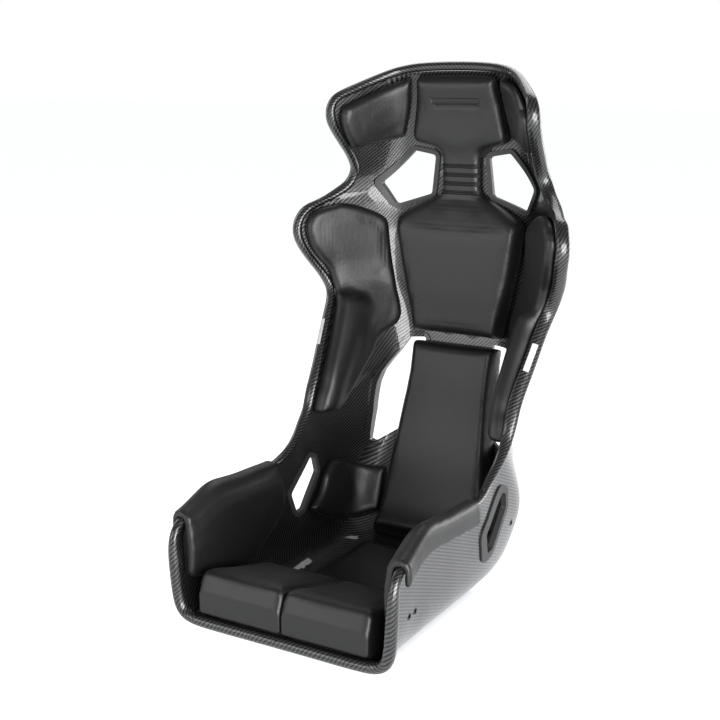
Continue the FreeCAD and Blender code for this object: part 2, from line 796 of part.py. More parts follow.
# Bolster cross-section about the rim centre: (toward the sitter, up the wall).
# Outer flap, over the rim, down the inner face, and back up inside the channel.
BOLSTER_STATIONS = [
    # t, outer flap, inner flap, inner foam, channel half width, cover thickness
    (17, 21, 84, 20, 10.5, 8.5), (26, 22, 100, 22, 9.4, 8.0), (42, 24, 112, 23, 9.0, 6.5),
    (60, 27, 122, 24, 9.0, 5.5), (95, 31, 140, 24, 9.0, 5.0), (140, 28, 152, 24, 9.0, 5.0),
    (190, 28, 146, 23, 9.0, 5.0), (240, 29, 124, 22, 9.0, 5.0), (280, 30, 102, 20, 9.0, 5.0),
    (300, 30, 90, 19, 9.0, 5.0), (314, 30, 80, 17, 9.0, 5.0)]


def bolster_rows():
    """The stations with intermediate rows, so that the loft follows the wall."""
    rows = [BOLSTER_STATIONS[0]]
    for row in BOLSTER_STATIONS[1:]:
        last = rows[-1]
        pieces = int(math.ceil((row[0] - last[0]) / 18.0))
        rows += [tuple(blend(a, b, k / pieces) for a, b in zip(last, row))
                 for k in range(1, pieces + 1)]
    return rows


def bolster_ring(t, outer, inner, foam, channel, cover):
    wall = D["shell_thickness"] / 2
    edge = skin.point(t, 1)
    centre = skin.offset(t, 1, -wall)
    up = edge - skin.point(t, 0.9)
    up.normalize()
    n = skin.normal(t, 1)
    n = n - up * n.dot(up)
    n.normalize()
    a = channel + cover

    def place(x, y):
        """x toward the sitter from the middle of the wall, y up from its edge."""
        if y < -14:
            spot = skin.offset(t, 1 + y / skin.width(t), x - wall) - centre
            x, y = spot.dot(n), spot.dot(up)
        return centre + n * x + up * y

    inside = [(foam, -6), (foam + 3, -26), (foam + 3, -inner * 0.36), (foam + 3, -inner * 0.5),
              (foam + 2, -inner * 0.65), (foam, -inner * 0.8), (foam - 1, -inner * 0.9),
              (foam * 0.72, -inner)]
    behind = [(wall + 2.2, -inner * share) for share in (1, 0.9, 0.8, 0.65, 0.5, 0.36)]
    shape = ([(-a, -outer), (-a, -outer * 0.5), (-a, -6), (-a + 1.5, 6), (-a * 0.62, a * 0.82),
              (0, a + 1), (a * 0.62, a * 0.86), (a + 2, 7)]
             + inside + behind
             + [(wall + 2.4, -26), (channel, -12), (channel, 3), (channel * 0.7, channel * 0.75),
                (0, channel + 0.6), (-channel * 0.7, channel * 0.75), (-channel, 3), (-channel, -6),
                (-channel, -outer * 0.6), (-channel, -outer)])
    return [place(x, y) for x, y in shape]


def bolster_solid():
    """Lofted foam cap that straddles the rim along the side of the seat pan."""
    nets = [bolster_ring(*row) for row in bolster_rows()]
    wires = [Part.makePolygon(ring + ring[:1]) for ring in nets]
    return positive(Part.makeLoft(wires, True, False, False))


def surface_cut(z, height, length, depth):
    """Cutter for a straight recess across the back pad at the given height."""
    t, _ = skin.locate(V(0, D["neck_y"], z))
    top = back_height(t, 0)
    return patch(t - height / 2, t + height / 2, -length / 2, length / 2, top - depth, top + 6, 4, 10)


def neck_grooves():
    """Four pairs of moulded grooves across the neck, so that the pad can bend there."""
    across = 2 * D["groove_length"]
    return [surface_cut(D["groove_top_z"] - pair * D["groove_pitch"] - line * D["groove_pair_pitch"],
                        D["groove_width"], across, D["groove_depth"])
            for pair in range(4) for line in range(2)]


def badge_recess():
    """Plain shallow recess on the head area of the pad."""
    return surface_cut(D["badge_z"], D["badge_height"], D["badge_length"], D["badge_depth"])


# ---- parametric hardware

def bound(item, **links):
    """Bind properties of a document object to cells of the sheet."""
    for prop, cell_name in links.items():
        item.setExpression(prop, "Dimensions." + cell_name)
    return item


def insert(name, x, y, z, side):
    """Flanged threaded insert through a side wall; the flange is on the inside."""
    turn = FreeCAD.Rotation(V(0, 1, 0), 90 * side)
    base = V(side * x, y, z)
    flange = doc.addObject("Part::Cylinder", name + "_flange")
    bound(flange, Radius="insert_flange_radius", Height="insert_flange_thick")
    barrel = doc.addObject("Part::Cylinder", name + "_barrel")
    bound(barrel, Radius="insert_barrel_radius", Height="insert_length")
    bore = doc.addObject("Part::Cylinder", name + "_bore")
    bound(bore, Radius="insert_bore_radius", Height="insert_length")
    for item in (flange, barrel, bore):
        item.Placement = FreeCAD.Placement(base, turn)
    body = doc.addObject("Part::Fuse", name + "_body")
    body.Base = flange
    body.Tool = barrel
    part = doc.addObject("Part::Cut", name)
    part.Base = body
    part.Tool = bore
    return part


def slot_sketch(body, name, length, width, lift):
    """Ring sketch of two nested slots on the body's XY plane, raised by lift."""
    sketch = body.newObject("Sketcher::SketchObject", name)
    plane = [f for f in body.Origin.OriginFeatures if f.Role == "XY_Plane"][0]
    sketch.AttachmentSupport = [(plane, "")]
    sketch.MapMode = "FlatFace"
    sketch.AttachmentOffset = FreeCAD.Placement(V(0, D["crotch_slot_y"], lift), FreeCAD.Rotation())
    for long, wide in zip(length, width):
        radius = wide / 2
        half = long / 2 - radius
        arcs = [(half, -90, 90), (-half, 90, 270)]
        for x, a0, a1 in arcs:
            circle = Part.Circle(V(x, 0, 0), V(0, 0, 1), radius)
            arc = Part.ArcOfCircle(circle, math.radians(a0), math.radians(a1))
            sketch.addGeometry(arc, False)
        for y in (-radius, radius):
            sketch.addGeometry(Part.LineSegment(V(-half, y, 0), V(half, y, 0)), False)
    return sketch


def crotch_trim():
    """Flanged sleeve lining the crotch belt slot in the seat pan."""
    body = doc.addObject("PartDesign::Body", "crotch_belt_trim")
    body.Label = "crotch_belt_trim"
    long, wide = D["crotch_slot_length"], D["crotch_slot_width"]
    grow = 2 * D["crotch_flange"]
    wall = 2 * D["trim_wall"]
    seat = max(floor_height(x, D["crotch_slot_y"] + y)
               for x in (0, 30, long / 2 + D["crotch_flange"]) for y in (-24, 24)) + 0.1
    top = slot_sketch(body, "flange_outline", (long + grow, long), (wide + grow, wide), seat)
    flange = body.newObject("PartDesign::Pad", "flange")
    flange.Profile = top
    bound(flange, Length="crotch_flange_thick")
    low = slot_sketch(body, "sleeve_outline", (long + wall, long), (wide + wall, wide), seat)
    sleeve = body.newObject("PartDesign::Pad", "sleeve")
    sleeve.Profile = low
    sleeve.Reversed = True
    bound(sleeve, Length="crotch_sleeve_depth")
    doc.recompute()
    NODES["crotch_belt_trim"] = body


# ---- thin parts

def tapes():
    """Hook-and-loop strips bonded to the shell behind every fixed pad."""
    low, high = 0.2, 0.2 + D["tape_thick"]
    areas = [(800, 980, 30, 60), (1160, 1290, 25, 60), (500, 730, 40, 70), (275, 395, 50, 80),
             (1225, 1285, 150, 180), (1225, 1285, 200, 230), (660, 760, 230, 260),
             (860, 1000, 210, 240), (475, 505, 155, 185), (420, 448, 235, 262),
             (60, 100, 290, 315), (180, 240, 290, 315)]
    out = []
    for t0, t1, w0, w1 in areas:
        strip = patch(t0, t1, w0, w1, low, high, 8, 6)
        out += [strip, positive(mirrored(strip))]
    return Part.makeCompound(out)


def rim_label(path, low_z, high_z, from_turn, to_turn):
    """Thin plain band wrapped on the front of the rim, between two heights."""
    picked = [k for k, (p, n) in enumerate(path) if low_z <= p.z <= high_z and p.y > -200]
    nets = []
    for grow in (0.15, 0.15 + D["label_thick"]):
        net = []
        for k in picked:
            p, n = path[k]
            along = path[k + 1][0] - path[k - 1][0]
            along.normalize()
            side = along.cross(n)
            side.normalize()
            up = side.cross(along)
            through, plane = rim_half_sizes(p)
            net.append([p + up * ((through + grow) * math.cos(a)) + side * ((plane + grow) * math.sin(a))
                        for a in steps(math.radians(from_turn), math.radians(to_turn), 8)])
        nets.append(net)
    return solid_between(*nets)


# ---- assembly

NODES = {}


def node(name, shape):
    """Add a computed sub-part to the document under its own label."""
    item = doc.addObject("Part::Feature", name)
    item.Label = name
    item.Shape = shape
    item.Placement = FreeCAD.Placement()
    NODES[name] = item


def pair(name, shape):
    """A right-hand sub-part and its mirror image."""
    node(name + "_right", shape)
    node(name + "_left", positive(mirrored(shape)))


half_path = rolled_outward(resample(rounded_edge(), 130))
whole_path = half_path + [(flipped(p), flipped(n)) for p, n in half_path[-2:0:-1]]
node("rolled_rim", closed_tube(ring_net(whole_path, rim_half_sizes)))

MOUNTS = [(D["front_mount_y"], D["front_mount_z"]),
          (D["front_mount_y"] + D["mount_pitch"], D["front_mount_z"]),
          (D["rear_mount_y"], D["rear_mount_z"])]


def wall_x(y, z, reach):
    """Inner face of the side wall over a round seat, at its nearest to the centre."""
    spots = [(y + reach * math.cos(a), z + reach * math.sin(a)) for a in steps(0, 6.2832, 12)]
    best = 1e9
    for sy, sz in spots:
        t, v = skin.locate(V(200, sy, sz))
        q = skin.point(t, v)
        n = skin.normal(t, v)
        best = min(best, q.x + ((q.y - sy) * n.y + (q.z - sz) * n.z) / n.x)
    return best


shell = solid_between(shell_net(-D["shell_thickness"]), shell_net(0.0))
for prism in (belt_prism, lap_prism, lumbar_prism):
    cutter = prism(D["trim_wall"] + D["trim_gap"])
    shell = shell.cut(cutter).cut(positive(mirrored(cutter)))
shell = shell.cut(crotch_prism(D["trim_wall"] + D["trim_gap"]))
shell = shell.cut(below_ground())

inserts = []
recesses = []
for number, (y, z) in enumerate(MOUNTS):
    seat_x = wall_x(y, z, D["insert_flange_radius"]) - D["insert_flange_thick"] - 0.1
    print("insert", number, "x", round(seat_x, 2), "y", y, "z", z)
    for side, word in ((1, "right"), (-1, "left")):
        inserts.append(insert("insert_%d_%s" % (number, word), seat_x, y, z, side))
        hole = Part.makeCylinder(D["insert_barrel_radius"] + 0.1, 60, V(side * 170, y, z), V(side, 0, 0))
        shell = shell.cut(hole)
        recesses.append(Part.makeCylinder(D["insert_flange_radius"] + 1.5, 40,
                                          V(side * (seat_x - 2.0), y, z), V(side, 0, 0)))
node("carbon_shell", shell)
group = doc.addObject("Part::Compound", "side_mount_inserts")
group.Label = "side_mount_inserts"
group.Links = inserts
NODES["side_mount_inserts"] = group

back = pad_solid(BACK_LADDER, back_height)
for cutter in neck_grooves() + [badge_recess()]:
    back = back.cut(cutter)
node("back_pad", back)
node("lumbar_pad", pad_solid(LUMBAR_LADDER, lumbar_height))
node("seat_base_pad", pad_solid(BASE_LADDER, base_height))
pair("head_wing_pad", pad_solid(WING_LADDER, wing_height))
pair("shoulder_pad", pad_solid(SHOULDER_LADDER, shoulder_height))
pair("hip_pad", pad_solid(HIP_LADDER, hip_height).cut(recesses[4]))
pair("thigh_cushion", cushion_solid())
bolster = bolster_solid()
pair("thigh_bolster", bolster.cut(recesses[0]).cut(recesses[2]))
pair("shoulder_belt_trim", grommet(BELT_HOLE_AREA, belt_prism, D["trim_flange"],
                                   D["trim_face_rise"], D["trim_back_rise"], D["trim_wall"]))
lap_outline = lap_prism(D["lap_back_flange"])
lap_outline.translate(V(0, D["lap_back_shift"], 0))
pair("lap_belt_trim", grommet(LAP_SLOT_AREA, lap_prism, D["trim_flange"], D["trim_face_rise"],
                              D["trim_back_rise"], D["trim_wall"], lap_outline))
pair("lumbar_opening_bead", grommet(LUMBAR_HOLE_AREA, lumbar_prism, D["bead_flange"],
                                    D["bead_rise"], D["bead_rise"], D["trim_wall"]))
crotch_trim()
node("pad_fastening_tapes", tapes())
fine_path = rolled_outward(resample(rounded_edge(), 600))
pair("rim_label", rim_label(fine_path, 410, 457, 50, 100))

doc.recompute()
for item in doc.Objects:
    if {"Invalid", "Error"} & set(item.State):
        raise RuntimeError("%s did not compute" % item.Name)
for name, item in sorted(NODES.items()):
    shape = item.Shape
    if shape.isNull() or not shape.isValid() or not shape.Solids:
        raise RuntimeError("%s is not a sound solid" % name)
    if min(solid.Volume for solid in shape.Solids) <= 0:
        raise RuntimeError("%s is inside out" % name)
    shape.exportStep("parts/%s.step" % name)
    box = shape.BoundBox
    print("%-26s %2d solids %9.0f mm3  x %.0f..%.0f y %.0f..%.0f z %.0f..%.0f" % (
        name, len(shape.Solids), shape.Volume, box.XMin, box.XMax, box.YMin, box.YMax,
        box.ZMin, box.ZMax))
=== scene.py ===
import math

import bmesh
import bpy
import numpy as np
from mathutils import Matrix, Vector
from mathutils.bvhtree import BVHTree
from mathutils.kdtree import KDTree

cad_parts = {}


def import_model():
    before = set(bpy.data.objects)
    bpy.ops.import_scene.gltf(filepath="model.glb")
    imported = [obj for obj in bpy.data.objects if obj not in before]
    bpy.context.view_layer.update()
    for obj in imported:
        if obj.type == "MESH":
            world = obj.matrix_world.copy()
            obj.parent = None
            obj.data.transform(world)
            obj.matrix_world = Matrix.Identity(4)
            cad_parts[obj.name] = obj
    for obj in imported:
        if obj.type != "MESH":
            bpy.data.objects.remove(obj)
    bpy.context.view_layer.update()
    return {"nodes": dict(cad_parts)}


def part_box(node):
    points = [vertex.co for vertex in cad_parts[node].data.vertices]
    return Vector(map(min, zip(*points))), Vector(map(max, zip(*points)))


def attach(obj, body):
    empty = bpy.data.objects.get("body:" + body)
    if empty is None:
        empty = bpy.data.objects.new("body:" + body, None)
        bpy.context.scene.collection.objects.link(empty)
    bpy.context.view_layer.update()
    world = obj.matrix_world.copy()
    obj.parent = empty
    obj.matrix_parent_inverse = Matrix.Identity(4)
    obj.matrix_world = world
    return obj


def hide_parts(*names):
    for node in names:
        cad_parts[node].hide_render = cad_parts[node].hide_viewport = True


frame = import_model()
NODES = frame["nodes"]

# ---- sizes, metres

TOW = 0.002                 # width of one carbon tow
TWILL = 4                   # tows in one twill repeat
RIM_REPEATS = 7             # twill repeats round the rim
COAT_ROUGHNESS = 0.035
GUIDE_Y, GUIDE_Z = -0.05, 0.45  # point in front of the backrest that the weave turns about
GUIDE_BINS = 90
MIDDLE_HALF = 0.03          # half width of the strip taken as the centre line
WALL_NORMAL = 0.75          # faces turned sideways more than this count as side walls
WALL_LEAN = math.radians(23)    # turn of the weave on the outside of the walls
LIP_Y = -0.2                # the front lip of the rim lies ahead of this,
LIP_TOP = 0.055             # below this
LIP_HALF = 0.17             # and within this of the centre
PAD_VOXEL = 0.0036          # grid of the finished covers
PAD_SWELL = 0.0018          # cover thickness over the foam
GLUE_REACH = 0.004          # covers this near the shell are held down
GROOVE_COUNT = 4            # pairs of neck grooves
GROOVE_TOP = 0.761          # height of the highest groove
GROOVE_PAIR = 0.0042        # spacing inside a pair
GROOVE_PITCH = 0.017        # spacing of the pairs
GROOVE_HALF = 0.0013
GROOVE_DEPTH = 0.0022
GROOVE_REACH = 0.038        # half length of a groove
BADGE = (0.050, 0.882, 0.004)   # half width, height, half height of the plain recess
BADGE_DEPTH = 0.0012
PUFF_LIMIT = 0.0022         # the most that the cloth pass may move a cover
SIM_FRAMES = 8
SIM_VOXEL = 0.011           # grid of the coarse covers in the cloth pass
SIM_GLUE_REACH = 0.006
FLOOR_HALF = 30.0
FLOOR_DROP = 0.0005
FLOOR_TINT = (0.93, 0.96, 1.0, 1.0)
FLOOR_GLOW = 0.93           # floor brightness in shadow, to the camera
FLOOR_MIRROR = 0.60         # the same in reflections
FLOOR_SPILL = 0.15          # the same as seen by soft bounced light
SEAT_SHADOW_HALF = (0.15, 0.16)   # half sizes of the painted shadow patch under the pan, where the floor's glow is taken away
SEAT_SHADOW_FORWARD = 0.06   # the patch's centre lies this far to the front
SKY_MIRROR = 0.25           # sky brightness in reflections
SKY_FILL = 0.15             # sky brightness as fill light
BACK = ("back_pad", "lumbar_pad", "seat_base_pad")
SIDES = ("head_wing_pad", "shoulder_pad", "hip_pad", "thigh_cushion", "thigh_bolster")


# ---- shader helpers

class Tree:
    """Short notation for building a node tree."""

    def __init__(self, material):
        material.use_nodes = True
        self.tree = material.node_tree
        self.tree.nodes.clear()

    def add(self, kind, **settings):
        made = self.tree.nodes.new(kind)
        for key, value in settings.items():
            if key in made.inputs:
                self.feed(made, key, value)
            else:
                setattr(made, key, value)
        return made

    def feed(self, made, key, value):
        if isinstance(value, bpy.types.NodeSocket):
            self.tree.links.new(value, made.inputs[key])
        elif isinstance(value, bpy.types.Node):
            self.tree.links.new(value.outputs[0], made.inputs[key])
        else:
            made.inputs[key].default_value = value

    def math(self, operation, a, b=0.0, c=0.0):
        made = self.add("ShaderNodeMath", operation=operation)
        for index, value in enumerate((a, b, c)):
            self.feed(made, index, value)
        return made.outputs[0]

    def noise(self, scale, detail=2.0, where=None):
        made = self.add("ShaderNodeTexNoise", Scale=scale, Detail=detail)
        if where is not None:
            self.feed(made, "Vector", where)
        return made.outputs[0]

    def mix(self, factor, a, b):
        made = self.add("ShaderNodeMix", data_type="RGBA")
        self.feed(made, 0, factor)
        self.feed(made, 6, a)
        self.feed(made, 7, b)
        return made.outputs[2]

    def blend(self, factor, a, b):
        made = self.add("ShaderNodeMix", data_type="FLOAT")
        self.feed(made, 0, factor)
        self.feed(made, 2, a)
        self.feed(made, 3, b)
        return made.outputs[0]

    def bump(self, height, strength, distance):
        return self.add("ShaderNodeBump", Height=height, Strength=strength, Distance=distance)

    def surface(self, shader):
        out = self.add("ShaderNodeOutputMaterial")
        self.tree.links.new(shader.outputs[0], out.inputs[0])


def grey(level):
    return (level, level, level, 1.0)


def carbon(name, bright, weft_shaded_tone):
    """Clear-coated 2x2 twill; the UV map counts tows. Warp tows get a lighter tone than weft tows
    as a painted sheen.
    """
    mat = bpy.data.materials.new(name)
    t = Tree(mat)
    uv = t.add("ShaderNodeUVMap", uv_map="weave")
    split = t.add("ShaderNodeSeparateXYZ", Vector=uv)
    a, b = split.outputs[0], split.outputs[1]
    column = t.math("FLOOR", a)
    row = t.math("FLOOR", b)
    phase = t.math("FLOORED_MODULO", t.math("SUBTRACT", column, row), float(TWILL))
    warp = t.math("LESS_THAN", phase, 1.5)
    across = t.blend(warp, t.math("FRACT", b), t.math("FRACT", a))
    off = t.math("SUBTRACT", t.math("MULTIPLY", across, 2.0), 1.0)
    crown = t.math("SUBTRACT", 1.0, t.math("MULTIPLY", off, off))
    gap = t.math("LESS_THAN", crown, 0.18)
    fibre = t.noise(900.0, 1.0)
    # painted sheen: warp tows take the lighter tone and weft tows the darker one, standing in for
    # how light catches each tow direction
    tone = t.mix(warp, weft_shaded_tone, bright)
    tone = t.mix(t.math("MULTIPLY", gap, 0.45), tone, grey(0.004))
    tone = t.mix(t.math("MULTIPLY", t.math("SUBTRACT", fibre, 0.35), 0.5), tone, grey(0.02))
    tangent = t.add("ShaderNodeTangent", direction_type="UV_MAP", uv_map="weave")
    bump = t.bump(crown, 0.25, 0.0004)
    shader = t.add(
        "ShaderNodeBsdfPrincipled",
        **{"Base Color": tone, "Metallic": 0.85, "Roughness": 0.36, "Anisotropic": 0.55,
           "Anisotropic Rotation": t.math("MULTIPLY", warp, 0.25), "Tangent": tangent,
           "Coat Weight": 0.8, "Coat Roughness": COAT_ROUGHNESS, "Coat IOR": 1.5, "Normal": bump})
    t.surface(shader)
    return mat


def pad_fabric():
    """Close-napped near-black cover cloth with a slight sheen."""
    mat = bpy.data.materials.new("pad_fabric")
    t = Tree(mat)
    where = t.add("ShaderNodeTexCoord").outputs["Object"]
    nap = t.noise(1400.0, 3.0, where)
    cloudy = t.noise(14.0, 2.0, where)
    weave = t.add("ShaderNodeTexVoronoi", Scale=900.0, feature="F1", Vector=where).outputs[0]
    tone = t.mix(cloudy, grey(0.004), grey(0.006))
    tone = t.mix(t.math("MULTIPLY", nap, 0.35), tone, grey(0.003))
    height = t.math("ADD", t.math("MULTIPLY", nap, 0.7), t.math("MULTIPLY", weave, 0.5))
    bump = t.bump(height, 0.35, 0.0003)
    rough = t.blend(cloudy, 0.40, 0.46)
    shader = t.add(
        "ShaderNodeBsdfPrincipled",
        **{"Base Color": tone, "Roughness": rough, "Sheen Weight": 0.04, "Sheen Roughness": 0.4,
           "Sheen Tint": grey(0.75), "Specular IOR Level": 0.6, "Normal": bump})
    t.surface(shader)
    return mat


def plastic(name, level, rough, grain, coat=0.0, metal=0.0):
    """Grained surface with faint cloudy variation; also used for metal and tape."""
    mat = bpy.data.materials.new(name)
    t = Tree(mat)
    where = t.add("ShaderNodeTexCoord").outputs["Object"]
    speck = t.noise(grain, 3.0, where)
    smudge = t.noise(22.0, 2.0, where)
    tone = t.mix(smudge, grey(level * 0.85), grey(level * 1.15))
    shader = t.add(
        "ShaderNodeBsdfPrincipled",
        **{"Base Color": tone, "Roughness": t.blend(speck, rough * 0.85, min(rough * 1.15, 1.0)),
           "Metallic": metal, "Coat Weight": coat, "Coat Roughness": 0.1,
           "Normal": t.bump(speck, 0.2, 0.0002)})
    t.surface(shader)
    return mat


# the lighter warp tone against the darker weft tone is painted sheen, not a colour difference of
# the fibre
CARBON = carbon("carbon", grey(0.10), grey(0.012))
FABRIC = pad_fabric()
TRIM = plastic("trim", 0.035, 0.5, 700.0)
METAL = plastic("insert_metal", 0.05, 0.35, 500.0, metal=0.9)
TAPE = plastic("tape", 0.02, 0.95, 1500.0)
LABEL = plastic("label", 0.80, 0.4, 300.0, coat=0.3)


# ---- mesh helpers

def coords(mesh):
    out = np.zeros(len(mesh.vertices) * 3)
    mesh.vertices.foreach_get("co", out)
    return out.reshape(-1, 3)


def tree_of(obj):
    mesh = obj.data
    points = [v.co.copy() for v in mesh.vertices]
    return BVHTree.FromPolygons(points, [tuple(p.vertices) for p in mesh.polygons])


def dress(obj, material):
    obj.data.materials.clear()
    obj.data.materials.append(material)


def smooth(obj, degrees=35):
    mesh = obj.data
    mesh.polygons.foreach_set("use_smooth", [True] * len(mesh.polygons))
    mesh.set_sharp_from_angle(angle=math.radians(degrees))


# ---- weave coordinates

def guide_angle(co):
    return np.arctan2(co[:, 2] - GUIDE_Z, co[:, 1] - GUIDE_Y)


def guide_arc():
    """Angles about a point in front of the backrest, and arc length of the pan at each."""
    co = coords(NODES["carbon_shell"].data)
    middle = co[np.abs(co[:, 0]) < MIDDLE_HALF]
    angle = guide_angle(middle)
    bins = np.linspace(angle.min(), angle.max(), GUIDE_BINS)
    which = np.digitize(angle, bins)
    filled = [k for k in range(1, GUIDE_BINS + 1) if (which == k).any()]
    centres = np.array([middle[which == k].mean(0) for k in filled])
    turn = guide_angle(centres)
    steps = np.linalg.norm(np.diff(centres[:, 1:], axis=0), axis=1)
    return turn, np.concatenate([[0.0], np.cumsum(steps)])


GUIDE = guide_arc()


def weave_shell(obj):
    """UV in tows: floor and back follow the pan, side walls are laid flat."""
    mesh = obj.data
    co = coords(mesh)
    arc = np.interp(guide_angle(co), *GUIDE)
    layer = mesh.uv_layers.new(name="weave")
    uv = np.zeros((len(mesh.loops), 2))
    for face in mesh.polygons:
        n = face.normal
        rows = list(face.loop_indices)
        ids = list(face.vertices)
        x, y, z = co[ids, 0], co[ids, 1], co[ids, 2]
        outward = n.x * face.center.x > 0
        if abs(n.x) > WALL_NORMAL and outward:
            u = y * math.cos(WALL_LEAN) + z * math.sin(WALL_LEAN)
            v = y * math.sin(WALL_LEAN) - z * math.cos(WALL_LEAN)
        elif abs(n.x) > WALL_NORMAL:
            u, v = y, z
        else:
            u, v = x, arc[ids]
        uv[rows, 0] = u / TOW
        uv[rows, 1] = v / TOW
    layer.data.foreach_set("uv", uv.ravel())


def loop_path(co, start, step=0.006, reach=0.022):
    """Walks along a tube from start and returns its centre line."""
    here = co[np.linalg.norm(co - start, axis=1) < reach].mean(0)
    path = [here]
    heading = np.array([1.0, 0.0, 0.0])
    for _ in range(900):
        guess = here + heading * step
        near = co[np.linalg.norm(co - guess, axis=1) < reach]
        centre = near.mean(0)
        _, _, axes = np.linalg.svd(near - centre)
        axis = axes[0] * np.sign(axes[0] @ heading)
        if abs(axes[0] @ heading) > 0.8:
            heading = 0.6 * heading + 0.4 * axis
        offset = centre - guess
        here = guess + offset - heading * (offset @ heading)
        moved = here - path[-1]
        heading = 0.5 * heading + 0.5 * moved / np.linalg.norm(moved)
        heading /= np.linalg.norm(heading)
        path.append(here)
        if len(path) > 40 and np.linalg.norm(here - path[0]) < step * 0.8:
            break
    return np.array(path)


def weave_rim(obj):
    """UV in tows: along the rim, and round its section in whole repeats."""
    mesh = obj.data
    co = coords(mesh)
    lip = co[(np.abs(co[:, 0]) < MIDDLE_HALF) & (co[:, 1] < LIP_Y)]
    path = loop_path(co, lip.mean(0))
    steps = np.linalg.norm(np.diff(np.vstack([path, path[:1]]), axis=0), axis=1)
    along = np.concatenate([[0.0], np.cumsum(steps)])
    total = along[-1]
    repeats = round(total / (TWILL * TOW))
    tangent = np.roll(path, -1, 0) - np.roll(path, 1, 0)
    tangent /= np.linalg.norm(tangent, axis=1)[:, None]
    middle = np.array([0.0, GUIDE_Y, GUIDE_Z])
    inward = middle - path
    inward -= tangent * (inward * tangent).sum(1)[:, None]
    inward /= np.linalg.norm(inward, axis=1)[:, None]
    other = np.cross(tangent, inward)
    tree = KDTree(len(path))
    for k, p in enumerate(path):
        tree.insert(p, k)
    tree.balance()
    u = np.zeros(len(co))
    v = np.zeros(len(co))
    for k, p in enumerate(co):
        _, near, _ = tree.find(p)
        d = p - path[near]
        u[k] = (along[near] + d @ tangent[near]) / total
        v[k] = math.atan2(d @ other[near], d @ inward[near]) / (2 * math.pi)
    layer = mesh.uv_layers.new(name="weave")
    uv = np.zeros((len(mesh.loops), 2))
    for face in mesh.polygons:
        rows = list(face.loop_indices)
        ids = list(face.vertices)
        uu, vv = u[ids], v[ids]
        if uu.max() - uu.min() > 0.5:
            uu = np.where(uu < 0.5, uu + 1, uu)
        if vv.max() - vv.min() > 0.5:
            vv = np.where(vv < 0, vv + 1, vv)
        c = face.center
        hand = -1.0 if c.z < LIP_TOP and abs(c.x) < LIP_HALF else 1.0
        uv[rows, 0] = uu * repeats * TWILL
        uv[rows, 1] = vv * RIM_REPEATS * TWILL * hand
    layer.data.foreach_set("uv", uv.ravel())


# ---- soft goods

def copied(name, new_name):
    """A free copy of a CAD node's mesh."""
    mesh = NODES[name].data.copy()
    obj = bpy.data.objects.new(new_name, mesh)
    bpy.context.scene.collection.objects.link(obj)
    return obj


def applied(obj):
    """Bake the object's modifiers into a new mesh."""
    dg = bpy.context.evaluated_depsgraph_get()
    mesh = bpy.data.meshes.new_from_object(obj.evaluated_get(dg))
    obj.modifiers.clear()
    obj.data = mesh
    return obj


def remeshed(obj, voxel):
    cut = obj.modifiers.new("remesh", "REMESH")
    cut.mode = "VOXEL"
    cut.voxel_size = voxel
    soft = obj.modifiers.new("smooth", "SMOOTH")
    soft.factor = 0.5
    soft.iterations = 3
    return applied(obj)


SHELL_TREE = tree_of(NODES["carbon_shell"])


def glued(obj, reach):
    """Indices of vertices that lie against the shell."""
    return [v.index for v in obj.data.vertices if SHELL_TREE.find_nearest(v.co)[3] < reach]


def cover_moves(name):
    """Cloth pass on a coarse cover, held on its back face and blown out lightly.

    Gives the coarse cover's rest points and how far each one moved.
    """
    obj = remeshed(copied(name, name + "_sim"), SIM_VOXEL)
    rest = coords(obj.data)
    group = obj.vertex_groups.new(name="glued")
    group.add(glued(obj, SIM_GLUE_REACH), 1.0, "REPLACE")
    cloth = obj.modifiers.new("cover", "CLOTH")
    s = cloth.settings
    s.quality = 3
    s.mass = 0.3
    s.tension_stiffness = 12
    s.compression_stiffness = 6
    s.shear_stiffness = 4
    s.bending_stiffness = 1.5
    s.air_damping = 2.0
    s.vertex_group_mass = "glued"
    s.use_pressure = True
    s.uniform_pressure_force = 2.0
    s.effector_weights.gravity = 0.0
    cloth.collision_settings.use_collision = False
    scene = bpy.context.scene
    cloth.point_cache.frame_start = 1
    cloth.point_cache.frame_end = SIM_FRAMES
    for number in range(1, SIM_FRAMES + 1):
        scene.frame_set(number)
    applied(obj)
    scene.frame_set(1)
    moves = coords(obj.data) - rest
    bpy.data.objects.remove(obj)
    length = np.linalg.norm(moves, axis=1)
    print(name, len(rest), "points, cover moved", round(float(length.max()) * 1000, 2), "mm")
    moves *= np.minimum(1.0, PUFF_LIMIT / np.maximum(length, 1e-9))[:, None]
    return rest, moves


def puffed(obj, rest, moves):
    """Carry the coarse cover's moves over to a finer one."""
    tree = KDTree(len(rest))
    for k, p in enumerate(rest):
        tree.insert(p, k)
    tree.balance()
    for v in obj.data.vertices:
        near = tree.find_n(v.co, 6)
        weights = [1.0 / (distance + 0.001) for _, _, distance in near]
        total = sum(weights)
        shift = sum(moves[k] * (w / total) for (_, k, _), w in zip(near, weights))
        v.co += Vector(shift)


def swollen(obj):
    """Move the cover out by its own thickness, except where it is glued down."""
    mesh = obj.data
    held = set(glued(obj, GLUE_REACH))
    for v in mesh.vertices:
        if v.index not in held:
            v.co += v.normal * PAD_SWELL


def fade(value, edge, soft):
    """1 inside edge, 0 beyond edge plus soft."""
    share = min(max((edge + soft - value) / soft, 0.0), 1.0)
    return share * share * (3 - 2 * share)


def groove_depth(co):
    depth = 0.0
    for number in range(GROOVE_COUNT):
        for offset in (0.0, GROOVE_PAIR):
            line = GROOVE_TOP - number * GROOVE_PITCH - offset
            depth = max(depth, fade(abs(co.z - line), GROOVE_HALF * 0.4, GROOVE_HALF))
    return depth * fade(abs(co.x), GROOVE_REACH, 0.003) * GROOVE_DEPTH


def badge_depth(co):
    wide, height, half = BADGE
    return fade(abs(co.x), wide, 0.001) * fade(abs(co.z - height), half, 0.001) * BADGE_DEPTH


